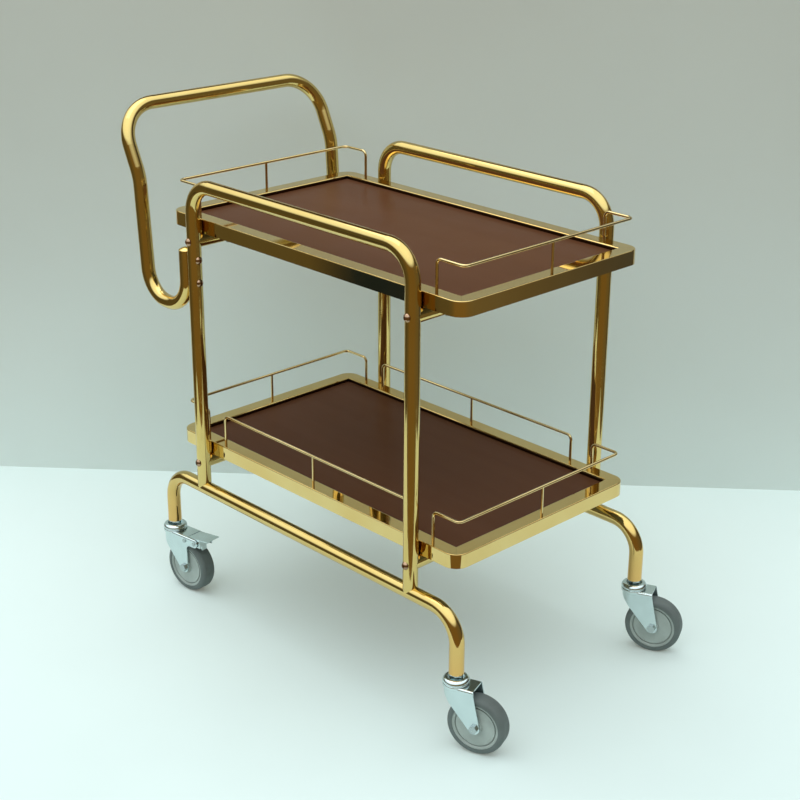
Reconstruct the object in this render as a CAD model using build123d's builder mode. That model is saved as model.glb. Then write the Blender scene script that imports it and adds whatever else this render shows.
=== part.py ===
"""Two-tier serving trolley: polished tube frame, two framed trays, wire galleries, swivel casters.

Millimetres and degrees. +X points to the front, away from the push handle, +Y to the left, +Z up.
The origin lies on the floor, under the middle of the trays.
"""

import os
from math import cos, radians, sin

from build123d import *

# Frame tubing
TUBE_DIAMETER = 25.0
TUBE_WALL = 1.5
BEND_RADIUS = 52.0
WELD_GAP = 0.1

# Side frames: two uprights and a top rail, bent from one tube
UPRIGHT_SPACING = 542.0
SIDE_SPACING = 451.0
RAIL_HEIGHT = 804.0

# Base tubes: a long run bent down into a leg at each end
BASE_HEIGHT = 234.0
LEG_SPACING = 748.0
BASE_FORWARD = 3.0

# Push handle: bar, slanted upper legs, steep lower legs and a hook that is bolted to each rear upright
HANDLE_BAR_RISE = 98.0
HANDLE_BAR_REACH = 54.0
HANDLE_BAR_RADIUS = 70.0
HANDLE_KINK_DROP = 116.0
HANDLE_KINK_RADIUS = 90.0
HANDLE_LEG_LEAN = 14.0
HOOK_RADIUS = 55.0
HOOK_FLAT = 3.8
HOOK_DROP = 56.5
HOOK_END_RISE = 12.0
HOOK_GAP = 0.2
END_CAP_HEIGHT = 5.0
END_CAP_DEPTH = 4.0

# Trays: sheet metal edging round a laminated board
UPPER_TRAY_DROP = 65.0
LOWER_TRAY_RISE = 89.0
TRAY_LENGTH = 715.0
TRAY_SIDE_GAP = 2.5
TRAY_CORNER_RADIUS = 25.0
TRAY_EDGE_RADIUS = 1.6
TRAY_LIP_RADIUS = 3.5
SKIRT_HEIGHT = 25.0
FLANGE_WIDTH = 28.0
EDGING_SHEET = 1.5
PANEL_RECESS = 7.0
PANEL_REBATE = 1.0
PANEL_GAP = 0.4
TRAY_REST_GAP = 0.1

# Galleries: bent wire on the trays' flanges
WIRE_DIAMETER = 5.0
MIDDLE_POST_DIAMETER = 4.6
GALLERY_HEIGHT = 51.0
GALLERY_POST_BEND = 9.0
GALLERY_CORNER_BEND = 9.0
GALLERY_END_INSET = 10.0
GALLERY_SIDE_INSET = 15.5
END_GALLERY_RETURN = 57.0
SIDE_GALLERY_LENGTH = 484.0

# Frame screws, with dome heads, and the threaded pieces that they go into
SCREW_DIAMETER = 8.0
SCREW_HEAD_DIAMETER = 14.0
SCREW_HEAD_HEIGHT = 4.5
SCREW_SOCKET_FLATS = 5.0
SCREW_SOCKET_DEPTH = 3.0
SCREW_HOLE_GAP = 0.2
SCREW_GRIP = 12.0
PLUG_LENGTH = 20.0
PLUG_INSET = 1.0
PLUG_GAP = 0.05
HANDLE_SCREW_DROP = 70.0
HANDLE_SCREW_PITCH = 41.0
INSERT_DIAMETER = 12.0
INSERT_LENGTH = 10.0

# Tray screws, up through the cross tubes into the boards
TRAY_SCREW_DIAMETER = 5.0
TRAY_SCREW_HEAD_DIAMETER = 10.0
TRAY_SCREW_HEAD_HEIGHT = 3.0
TRAY_SCREW_SLOT_LENGTH = 6.0
TRAY_SCREW_SLOT_WIDTH = 1.2
TRAY_SCREW_SLOT_DEPTH = 1.5
TRAY_SCREW_SPACING = 300.0
TRAY_SCREW_GRIP = 11.0
TRAY_SCREW_DEPTH = 12.0

# Caster wheels
WHEEL_DIAMETER = 100.0
TYRE_WIDTH = 30.0
TYRE_DEPTH = 10.0
TYRE_SHOULDER = 7.0
TYRE_BOND_GAP = 0.05
HUB_BOSS_WIDTH = 32.0
HUB_BOSS_DIAMETER = 24.0
HUB_DISC_WIDTH = 25.0
HUB_RIM_WIDTH = 28.0
HUB_RIM_DEPTH = 4.5
HUB_RIM_BEVEL = 1.8
HUB_GROOVE_DEPTH = 3.0
HUB_GROOVE_WIDTH = 1.8
SLEEVE_DIAMETER = 12.0
RUNNING_GAP = 0.06

# Caster forks
CASTER_TRAIL = 40.0
FORK_SHEET = 2.5
FORK_SIDE_GAP = 2.0
FORK_CROWN = 13.5
FORK_NOSE_HEIGHT = 11.5
FORK_REACH = 36.5
FORK_END_RADIUS = 10.0
FORK_EDGE_RADIUS = 3.5
FORK_COLLAR_DIAMETER = 44.0
FORK_COLLAR_DROP = 7.0
FORK_COLLAR_ROUND = 3.0
AXLE_DIAMETER = 8.0
AXLE_HEAD_FLATS = 13.0
AXLE_HEAD_HEIGHT = 5.0
AXLE_THREAD_END = 2.0

# Swivel heads
STEM_DIAMETER = 12.0
STEM_FLATS = 19.0
STEM_COLLAR_HEIGHT = 11.0
STEM_REACH = 30.0
STEM_RIVET_DIAMETER = 18.0
STEM_RIVET_HEIGHT = 3.0
STEM_RIVET_GAP = 0.2
LEG_INSERT_LENGTH = 35.0
CUP_DIAMETER = 44.6
CUP_HEIGHT = 8.0
CUP_FLOOR = 3.0
CUP_RIM = 8.6
CUP_ROUND = 6.8
CUP_INNER_ROUND = 1.2
CUP_FOOT_ROUND = 1.0
RACE_HEIGHT = 1.7
RACE_INNER_DIAMETER = 18.0
RACE_OUTER_DIAMETER = 30.0
RACE_GAP = 0.3

# Brakes on the rear casters
BRAKE_FORK_REACH = 49.0
BRAKE_PIVOT_REACH = 69.0
BRAKE_EAR_RADIUS = 8.0
BRAKE_EAR_FILLET = 9.0
BRAKE_PIN_DIAMETER = 5.0
BRAKE_PIN_HEAD_DIAMETER = 8.0
BRAKE_PIN_HEAD_HEIGHT = 1.5
BRAKE_STOP_REACH = 44.0
PEDAL_SHEET = 2.0
PEDAL_SIDE_GAP = 1.0
PEDAL_START_GAP = 2.0
PEDAL_LENGTH = 50.0
PEDAL_RISE = 5.0
PEDAL_CHEEK_RADIUS = 7.0
PEDAL_CHEEK_REACH = 13.0
SHOE_SETBACK = 5.0
SHOE_THICKNESS = 3.0
SHOE_DROP = 16.0
SHOE_WIDTH = 12.0

# Headings of the casters: the way each wheel trails, turned from +X towards +Y
FRONT_LEFT_HEADING = 25.0
FRONT_RIGHT_HEADING = 20.0
REAR_LEFT_HEADING = 12.0
REAR_RIGHT_HEADING = 7.0

# Frame places that follow from the sizes above
TUBE_RADIUS = TUBE_DIAMETER / 2
BORE_RADIUS = TUBE_RADIUS - TUBE_WALL
UPRIGHT_X = UPRIGHT_SPACING / 2
SIDE_Y = SIDE_SPACING / 2
FRONT_LEG_X = BASE_FORWARD + LEG_SPACING / 2
REAR_LEG_X = BASE_FORWARD - LEG_SPACING / 2
SIDES = {"left": 1, "right": -1}
ENDS = {"front": 1, "rear": -1}
SCREW_RADIUS = SCREW_DIAMETER / 2
SCREW_HOLE_RADIUS = SCREW_RADIUS + SCREW_HOLE_GAP

# Tray places
UPPER_TRAY_HEIGHT = RAIL_HEIGHT - UPPER_TRAY_DROP
LOWER_TRAY_HEIGHT = BASE_HEIGHT + LOWER_TRAY_RISE
TRAY_HEIGHTS = {"upper": UPPER_TRAY_HEIGHT, "lower": LOWER_TRAY_HEIGHT}
TRAY_WIDTH = SIDE_SPACING - TUBE_DIAMETER - 2 * TRAY_SIDE_GAP
OPENING_LENGTH = TRAY_LENGTH - 2 * FLANGE_WIDTH
OPENING_WIDTH = TRAY_WIDTH - 2 * FLANGE_WIDTH
LIP_DEPTH = PANEL_RECESS + PANEL_REBATE
CROSS_DROP = SKIRT_HEIGHT + TRAY_REST_GAP + TUBE_RADIUS
GALLERY_X = TRAY_LENGTH / 2 - GALLERY_END_INSET
GALLERY_Y = TRAY_WIDTH / 2 - GALLERY_SIDE_INSET
END_POST_X = GALLERY_X - END_GALLERY_RETURN
SIDE_POST_X = SIDE_GALLERY_LENGTH / 2
TRAY_SCREW_Y = TRAY_SCREW_SPACING / 2
TRAY_SCREW_HOLE_RADIUS = TRAY_SCREW_DIAMETER / 2 + SCREW_HOLE_GAP

# Push handle places
UPPER_SCREW_HEIGHT = UPPER_TRAY_HEIGHT - HANDLE_SCREW_DROP
LOWER_SCREW_HEIGHT = UPPER_SCREW_HEIGHT - HANDLE_SCREW_PITCH
HOOK_X = -UPRIGHT_X - TUBE_DIAMETER - HOOK_GAP
HOOK_LEG_X = HOOK_X - 2 * HOOK_RADIUS - HOOK_FLAT
HOOK_BOTTOM_HEIGHT = LOWER_SCREW_HEIGHT - HOOK_DROP
HOOK_END_HEIGHT = UPPER_SCREW_HEIGHT + HOOK_END_RISE
HANDLE_BAR_HEIGHT = RAIL_HEIGHT + HANDLE_BAR_RISE
HANDLE_KINK_HEIGHT = HANDLE_BAR_HEIGHT - HANDLE_KINK_DROP
HANDLE_KINK_X = HOOK_LEG_X - HANDLE_LEG_LEAN
HANDLE_BAR_X = HANDLE_KINK_X - HANDLE_BAR_REACH

# Caster places, each height counted from the floor
WHEEL_RADIUS = WHEEL_DIAMETER / 2
HUB_RADIUS = WHEEL_RADIUS - TYRE_DEPTH
SLEEVE_RADIUS = SLEEVE_DIAMETER / 2
AXLE_RADIUS = AXLE_DIAMETER / 2
STEM_RADIUS = STEM_DIAMETER / 2
FORK_INNER = TYRE_WIDTH / 2 + FORK_SIDE_GAP
FORK_OUTER = FORK_INNER + FORK_SHEET
FORK_CEILING = WHEEL_DIAMETER + FORK_CROWN
FORK_TOP = FORK_CEILING + FORK_SHEET
CUP_BOTTOM = FORK_TOP + RACE_GAP + RACE_HEIGHT
COLLAR_BOTTOM = CUP_BOTTOM + CUP_FLOOR
LEG_END = COLLAR_BOTTOM + STEM_COLLAR_HEIGHT
BRAKE_PIVOT_HEIGHT = FORK_TOP - BRAKE_EAR_RADIUS
BRAKE_EAR_REACH = BRAKE_PIVOT_REACH + BRAKE_EAR_RADIUS
BRAKE_PIN_RADIUS = BRAKE_PIN_DIAMETER / 2
PEDAL_OUTER = FORK_INNER - PEDAL_SIDE_GAP
PEDAL_INNER = PEDAL_OUTER - PEDAL_SHEET
PEDAL_START = BRAKE_FORK_REACH + PEDAL_START_GAP
PEDAL_END = PEDAL_START + PEDAL_LENGTH

# Each caster: leg place, heading and whether it has a brake
CASTERS = {
    "front_left": (FRONT_LEG_X, SIDE_Y, FRONT_LEFT_HEADING, False),
    "front_right": (FRONT_LEG_X, -SIDE_Y, FRONT_RIGHT_HEADING, False),
    "rear_left": (REAR_LEG_X, SIDE_Y, REAR_LEFT_HEADING, True),
    "rear_right": (REAR_LEG_X, -SIDE_Y, REAR_RIGHT_HEADING, True),
}


def save(part, name):
    """Labels a finished piece and writes it under its name."""
    part.label = name
    export_step(part, f"parts/{name}.step")


def heading_vector(heading):
    """Level direction in which a caster trails."""
    return Vector(cos(radians(heading)), sin(radians(heading)), 0)


def level_plane(x, y, heading):
    """Floor plane of a caster, with its X along the trail."""
    return Plane(origin=(x, y, 0), x_dir=heading_vector(heading), z_dir=(0, 0, 1))


def wheel_plane(x, y, heading):
    """Upright middle plane of a caster, with its X along the trail and its Y up."""
    across = heading_vector(heading - 90)
    return Plane(origin=(x, y, 0), x_dir=heading_vector(heading), z_dir=across)


def axle_axis(x, y, heading):
    """Axis of a caster's wheel, pointing to its left."""
    centre = wheel_plane(x, y, heading).from_local_coords(Vector(CASTER_TRAIL, WHEEL_RADIUS, 0))
    return Axis(centre, heading_vector(heading + 90))


def stem_plane(x, y, height):
    """Upright plane for a profile that is turned about a caster's stem: X outwards, Y up."""
    return Plane(origin=(x, y, height), x_dir=(1, 0, 0), z_dir=(0, -1, 0))


def turning_plane(axis):
    """Plane for a profile that is turned about a level axis: X along the axis, Y up."""
    return Plane(origin=axis.position, x_dir=axis.direction, z_dir=axis.direction.cross(Vector(0, 0, 1)))


def screw_plane(seat):
    """Plane for a screw's half profile: X outwards from its axis, Y along the seat's normal."""
    return Plane(origin=seat.origin, x_dir=seat.x_dir, z_dir=-seat.y_dir)


def cross_tube_seats():
    """Planes under the heads of the screws that hold the cross tubes, facing out of the uprights."""
    seats = []
    for height in TRAY_HEIGHTS.values():
        for end in ENDS.values():
            for side in SIDES.values():
                place = (end * UPRIGHT_X, side * (SIDE_Y + TUBE_RADIUS), height - CROSS_DROP)
                seats.append(Plane(origin=place, x_dir=(1, 0, 0), z_dir=(0, side, 0)))
    return seats


def handle_seats():
    """Planes under the heads of the screws that hold the handle, on the front of the rear uprights."""
    seats = []
    for height in (UPPER_SCREW_HEIGHT, LOWER_SCREW_HEIGHT):
        for side in SIDES.values():
            place = (TUBE_RADIUS - UPRIGHT_X, side * SIDE_Y, height)
            seats.append(Plane(origin=place, x_dir=(0, 1, 0), z_dir=(1, 0, 0)))
    return seats


def side_frame(side):
    """Two uprights and a top rail from one bent tube, with its feet coped to the base tube."""
    y = side * SIDE_Y
    with BuildPart() as frame:
        with BuildLine() as route:
            FilletPolyline(
                (-UPRIGHT_X, y, BASE_HEIGHT),
                (-UPRIGHT_X, y, RAIL_HEIGHT),
                (UPRIGHT_X, y, RAIL_HEIGHT),
                (UPRIGHT_X, y, BASE_HEIGHT),
                radius=BEND_RADIUS,
            )
        with BuildSketch(Plane(origin=route.line @ 0, z_dir=route.line % 0)):
            Circle(TUBE_RADIUS)
            Circle(BORE_RADIUS, mode=Mode.SUBTRACT)
        sweep()
        with BuildSketch(Plane.YZ.offset(REAR_LEG_X)):
            with Locations((y, BASE_HEIGHT)):
                Circle(TUBE_RADIUS + WELD_GAP)
        extrude(amount=LEG_SPACING, mode=Mode.SUBTRACT)
        for seat in cross_tube_seats():
            if seat.z_dir.Y == side:
                with BuildSketch(seat):
                    Circle(SCREW_HOLE_RADIUS)
                extrude(amount=-TUBE_DIAMETER, mode=Mode.SUBTRACT)
        for seat in handle_seats():
            if seat.origin.Y == y:
                with BuildSketch(seat):
                    Circle(SCREW_HOLE_RADIUS)
                extrude(amount=-TUBE_DIAMETER, mode=Mode.SUBTRACT)
    return frame.part


def base_tube(side):
    """Long floor tube whose ends are bent down into the caster legs."""
    y = side * SIDE_Y
    with BuildPart() as tube:
        with BuildLine() as route:
            FilletPolyline(
                (REAR_LEG_X, y, LEG_END),
                (REAR_LEG_X, y, BASE_HEIGHT),
                (FRONT_LEG_X, y, BASE_HEIGHT),
                (FRONT_LEG_X, y, LEG_END),
                radius=BEND_RADIUS,
            )
        with BuildSketch(Plane(origin=route.line @ 0, z_dir=route.line % 0)):
            Circle(TUBE_RADIUS)
            Circle(BORE_RADIUS, mode=Mode.SUBTRACT)
        sweep()
    return tube.part


def push_handle():
    """Bar, slanted legs and bolted hooks, bent from one tube."""
    profile = [
        (HOOK_X, HOOK_END_HEIGHT),
        (HOOK_X, HOOK_BOTTOM_HEIGHT),
        (HOOK_LEG_X, HOOK_BOTTOM_HEIGHT),
        (HANDLE_KINK_X, HANDLE_KINK_HEIGHT),
        (HANDLE_BAR_X, HANDLE_BAR_HEIGHT),
    ]
    bends = [HOOK_RADIUS, HOOK_RADIUS, HANDLE_KINK_RADIUS, HANDLE_BAR_RADIUS]
    right_leg = [(x, -SIDE_Y, z) for x, z in profile]
    left_leg = [(x, SIDE_Y, z) for x, z in reversed(profile)]
    with BuildPart() as handle:
        with BuildLine() as route:
            FilletPolyline(*right_leg, *left_leg, radius=bends + bends[::-1])
        with BuildSketch(Plane(origin=route.line @ 0, z_dir=route.line % 0)):
            Circle(TUBE_RADIUS)
            Circle(BORE_RADIUS, mode=Mode.SUBTRACT)
        sweep()
        for seat in handle_seats():
            with BuildSketch(seat.offset(-TUBE_DIAMETER)):
                Circle(SCREW_HOLE_RADIUS)
            extrude(amount=-TUBE_RADIUS, mode=Mode.SUBTRACT)
    return handle.part


def handle_end_caps():
    """Domed plugs that close the upper ends of the handle's hooks."""
    with BuildPart() as caps:
        for side in SIDES.values():
            end = (HOOK_X, side * SIDE_Y, HOOK_END_HEIGHT)
            with BuildSketch(Plane(origin=end, x_dir=(1, 0, 0), z_dir=(0, -1, 0))):
                with BuildLine():
                    Polyline(
                        (0, END_CAP_HEIGHT),
                        (0, -END_CAP_DEPTH),
                        (BORE_RADIUS - PLUG_GAP, -END_CAP_DEPTH),
                        (BORE_RADIUS - PLUG_GAP, 0),
                        (TUBE_RADIUS, 0),
                    )
                    TangentArc((0, END_CAP_HEIGHT), (TUBE_RADIUS, 0), tangent=(1, 0))
                make_face()
            revolve(axis=Axis(end, (0, 0, 1)))
    return caps.part


def cross_tube(height, end):
    """Tube under a tray, coped to the two uprights that carry it."""
    x = end * UPRIGHT_X
    z = height - CROSS_DROP
    with BuildPart() as tube:
        with BuildSketch(Plane.XZ.offset(-SIDE_Y)):
            with Locations((x, z)):
                Circle(TUBE_RADIUS)
                Circle(BORE_RADIUS, mode=Mode.SUBTRACT)
        extrude(amount=SIDE_SPACING)
        with BuildSketch(Plane.XY.offset(z - TUBE_DIAMETER)):
            with Locations((x, SIDE_Y), (x, -SIDE_Y)):
                Circle(TUBE_RADIUS + WELD_GAP)
        extrude(amount=2 * TUBE_DIAMETER, mode=Mode.SUBTRACT)
        with BuildSketch(Plane.XY.offset(z - TUBE_DIAMETER)):
            with Locations((x, TRAY_SCREW_Y), (x, -TRAY_SCREW_Y)):
                Circle(TRAY_SCREW_HOLE_RADIUS)
        extrude(amount=2 * TUBE_DIAMETER, mode=Mode.SUBTRACT)
    return tube.part


def cross_tube_plugs():
    """Threaded plugs fixed in the ends of the cross tubes."""
    with BuildPart() as plugs:
        for seat in cross_tube_seats():
            with BuildSketch(seat.offset(-TUBE_DIAMETER - PLUG_INSET)):
                Circle(BORE_RADIUS - PLUG_GAP)
                Circle(SCREW_RADIUS + PLUG_GAP, mode=Mode.SUBTRACT)
            extrude(amount=-PLUG_LENGTH)
    return plugs.part


def handle_inserts():
    """Threaded inserts inside the handle's hooks."""
    with BuildPart() as inserts:
        for seat in handle_seats():
            with BuildSketch(seat.offset(HOOK_X - seat.origin.X)):
                Circle(INSERT_DIAMETER / 2)
                Circle(SCREW_RADIUS + PLUG_GAP, mode=Mode.SUBTRACT)
            extrude(amount=INSERT_LENGTH / 2, both=True)
    return inserts.part


def dome_screws(seats, length):
    """Dome-headed screws with hexagon sockets, each with its head on a seat and its shank behind it."""
    with BuildPart() as screws:
        for seat in seats:
            with BuildSketch(screw_plane(seat)):
                with BuildLine():
                    Polyline(
                        (0, SCREW_HEAD_HEIGHT),
                        (0, -length),
                        (SCREW_RADIUS, -length),
                        (SCREW_RADIUS, 0),
                        (SCREW_HEAD_DIAMETER / 2, 0),
                    )
                    TangentArc((0, SCREW_HEAD_HEIGHT), (SCREW_HEAD_DIAMETER / 2, 0), tangent=(1, 0))
                make_face()
            revolve(axis=Axis(seat.origin, seat.z_dir))
            with BuildSketch(seat.offset(SCREW_HEAD_HEIGHT)):
                RegularPolygon(SCREW_SOCKET_FLATS / 2, side_count=6, major_radius=False)
            extrude(amount=-SCREW_SOCKET_DEPTH, mode=Mode.SUBTRACT)
    return screws.part


def tray_screws():
    """Flat-headed screws with cross slots that hold the boards down on the cross tubes."""
    with BuildPart() as screws:
        for height in TRAY_HEIGHTS.values():
            head_top = height - CROSS_DROP - TUBE_RADIUS
            tip = height - SKIRT_HEIGHT + TRAY_SCREW_GRIP
            with BuildSketch(Plane.XY.offset(head_top)):
                with GridLocations(UPRIGHT_SPACING, TRAY_SCREW_SPACING, 2, 2):
                    Circle(TRAY_SCREW_HEAD_DIAMETER / 2)
            extrude(amount=-TRAY_SCREW_HEAD_HEIGHT)
            with BuildSketch(Plane.XY.offset(head_top - TRAY_SCREW_HEAD_HEIGHT)):
                with GridLocations(UPRIGHT_SPACING, TRAY_SCREW_SPACING, 2, 2):
                    Rectangle(TRAY_SCREW_SLOT_LENGTH, TRAY_SCREW_SLOT_WIDTH)
                    Rectangle(TRAY_SCREW_SLOT_WIDTH, TRAY_SCREW_SLOT_LENGTH)
            extrude(amount=TRAY_SCREW_SLOT_DEPTH, mode=Mode.SUBTRACT)
            with BuildSketch(Plane.XY.offset(head_top)):
                with GridLocations(UPRIGHT_SPACING, TRAY_SCREW_SPACING, 2, 2):
                    Circle(TRAY_SCREW_DIAMETER / 2)
            extrude(amount=tip - head_top)
    return screws.part


def tray_frame(height):
    """Folded edging of a tray: outer skirt, flat flange and an inner lip down to the board."""
    with BuildPart() as frame:
        with BuildSketch(Plane.XY.offset(height)):
            RectangleRounded(TRAY_LENGTH, TRAY_WIDTH, TRAY_CORNER_RADIUS)
        extrude(amount=-SKIRT_HEIGHT)
        fillet(frame.faces().sort_by(Axis.Z)[-1].edges(), radius=TRAY_EDGE_RADIUS)
        with BuildSketch(Plane.XY.offset(height - EDGING_SHEET)):
            RectangleRounded(
                TRAY_LENGTH - 2 * EDGING_SHEET,
                TRAY_WIDTH - 2 * EDGING_SHEET,
                TRAY_CORNER_RADIUS - EDGING_SHEET,
            )
        extrude(amount=EDGING_SHEET - SKIRT_HEIGHT, mode=Mode.SUBTRACT)
        with BuildSketch(Plane.XY.offset(height - EDGING_SHEET)):
            Rectangle(OPENING_LENGTH + 2 * EDGING_SHEET, OPENING_WIDTH + 2 * EDGING_SHEET)
        extrude(amount=EDGING_SHEET - LIP_DEPTH)
        with BuildSketch(Plane.XY.offset(height)):
            Rectangle(OPENING_LENGTH, OPENING_WIDTH)
        extrude(amount=-LIP_DEPTH, mode=Mode.SUBTRACT)
        fillet(frame.faces().sort_by(Axis.Z)[-1].inner_wires().edges(), radius=TRAY_LIP_RADIUS)
    return frame.part


def tray_panel(height):
    """Laminated board, rebated round its top for the lip of the edging."""
    margin = EDGING_SHEET + PANEL_GAP
    with BuildPart() as panel:
        with BuildSketch(Plane.XY.offset(height - SKIRT_HEIGHT)):
            RectangleRounded(
                TRAY_LENGTH - 2 * margin,
                TRAY_WIDTH - 2 * margin,
                TRAY_CORNER_RADIUS - margin,
            )
        extrude(amount=SKIRT_HEIGHT - LIP_DEPTH)
        with BuildSketch(Plane.XY.offset(height - LIP_DEPTH)):
            Rectangle(OPENING_LENGTH - 2 * PANEL_GAP, OPENING_WIDTH - 2 * PANEL_GAP)
        extrude(amount=PANEL_REBATE)
        with BuildSketch(Plane.XY.offset(height - SKIRT_HEIGHT)):
            with GridLocations(UPRIGHT_SPACING, TRAY_SCREW_SPACING, 2, 2):
                Circle(TRAY_SCREW_HOLE_RADIUS)
        extrude(amount=TRAY_SCREW_DEPTH, mode=Mode.SUBTRACT)
    return panel.part


def end_gallery(height, end):
    """Wire across the end of a tray, with a short return along each long side and three posts."""
    top = height + GALLERY_HEIGHT
    bends = [GALLERY_POST_BEND, GALLERY_CORNER_BEND, GALLERY_CORNER_BEND, GALLERY_POST_BEND]
    with BuildPart() as gallery:
        with BuildLine() as route:
            FilletPolyline(
                (end * END_POST_X, -GALLERY_Y, height),
                (end * END_POST_X, -GALLERY_Y, top),
                (end * GALLERY_X, -GALLERY_Y, top),
                (end * GALLERY_X, GALLERY_Y, top),
                (end * END_POST_X, GALLERY_Y, top),
                (end * END_POST_X, GALLERY_Y, height),
                radius=bends,
            )
        with BuildSketch(Plane(origin=route.line @ 0, z_dir=route.line % 0)):
            Circle(WIRE_DIAMETER / 2)
        sweep()
        with BuildSketch(Plane.XY.offset(height)):
            with Locations((end * GALLERY_X, 0)):
                Circle(MIDDLE_POST_DIAMETER / 2)
        extrude(amount=GALLERY_HEIGHT)
    return gallery.part


def side_gallery(height, side):
    """Wire along a tray's long side, between the uprights, with three posts."""
    top = height + GALLERY_HEIGHT
    y = side * GALLERY_Y
    with BuildPart() as gallery:
        with BuildLine() as route:
            FilletPolyline(
                (-SIDE_POST_X, y, height),
                (-SIDE_POST_X, y, top),
                (SIDE_POST_X, y, top),
                (SIDE_POST_X, y, height),
                radius=GALLERY_POST_BEND,
            )
        with BuildSketch(Plane(origin=route.line @ 0, z_dir=route.line % 0)):
            Circle(WIRE_DIAMETER / 2)
        sweep()
        with BuildSketch(Plane.XY.offset(height)):
            with Locations((0, y)):
                Circle(MIDDLE_POST_DIAMETER / 2)
        extrude(amount=GALLERY_HEIGHT)
    return gallery.part


def leg_inserts():
    """Threaded inserts fixed in the lower ends of the legs."""
    with BuildPart() as inserts:
        with BuildSketch(Plane(origin=(BASE_FORWARD, 0, LEG_END))):
            with GridLocations(LEG_SPACING, SIDE_SPACING, 2, 2):
                Circle(BORE_RADIUS - PLUG_GAP)
                Circle(STEM_RADIUS + PLUG_GAP, mode=Mode.SUBTRACT)
        extrude(amount=LEG_INSERT_LENGTH)
    return inserts.part


def caster_stem(x, y):
    """Threaded stem with a hexagon collar and a riveted lower end that holds the fork."""
    rivet_top = FORK_CEILING - STEM_RIVET_GAP
    with BuildPart() as stem:
        with BuildSketch(Plane.XY.offset(rivet_top - STEM_RIVET_HEIGHT)):
            with Locations((x, y)):
                Circle(STEM_RIVET_DIAMETER / 2)
        extrude(amount=STEM_RIVET_HEIGHT)
        with BuildSketch(Plane.XY.offset(rivet_top)):
            with Locations((x, y)):
                Circle(STEM_RADIUS)
        extrude(amount=LEG_END + STEM_REACH - rivet_top)
        with BuildSketch(Plane.XY.offset(COLLAR_BOTTOM)):
            with Locations((x, y)):
                RegularPolygon(STEM_FLATS / 2, side_count=6, major_radius=False)
        extrude(amount=STEM_COLLAR_HEIGHT)
    return stem.part


def swivel_cup(x, y):
    """Dished upper cup of a swivel head, with a wide rounded rim."""
    radius = CUP_DIAMETER / 2
    hole = STEM_RADIUS + PLUG_GAP
    with BuildPart() as cup:
        with BuildSketch(stem_plane(x, y, CUP_BOTTOM)) as section:
            with BuildLine():
                Polyline(
                    (hole, 0),
                    (radius, 0),
                    (radius, CUP_HEIGHT),
                    (radius - CUP_RIM, CUP_HEIGHT),
                    (radius - CUP_RIM, CUP_FLOOR),
                    (hole, CUP_FLOOR),
                    close=True,
                )
            make_face()
            fillet(section.vertices().group_by(Axis.Y)[-1].sort_by(Axis.X)[-1], radius=CUP_ROUND)
            fillet(section.vertices().group_by(Axis.Y)[-1].sort_by(Axis.X)[0], radius=CUP_INNER_ROUND)
            fillet(section.vertices().group_by(Axis.Y)[0].sort_by(Axis.X)[-1], radius=CUP_FOOT_ROUND)
        revolve(axis=Axis((x, y, 0), (0, 0, 1)))
    return cup.part


def swivel_races():
    """Hardened rings under the cups, on which the forks turn."""
    with BuildPart() as races:
        with BuildSketch(Plane(origin=(BASE_FORWARD, 0, CUP_BOTTOM))):
            with GridLocations(LEG_SPACING, SIDE_SPACING, 2, 2):
                Circle(RACE_OUTER_DIAMETER / 2)
                Circle(RACE_INNER_DIAMETER / 2, mode=Mode.SUBTRACT)
        extrude(amount=-RACE_HEIGHT)
    return races.part


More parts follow.
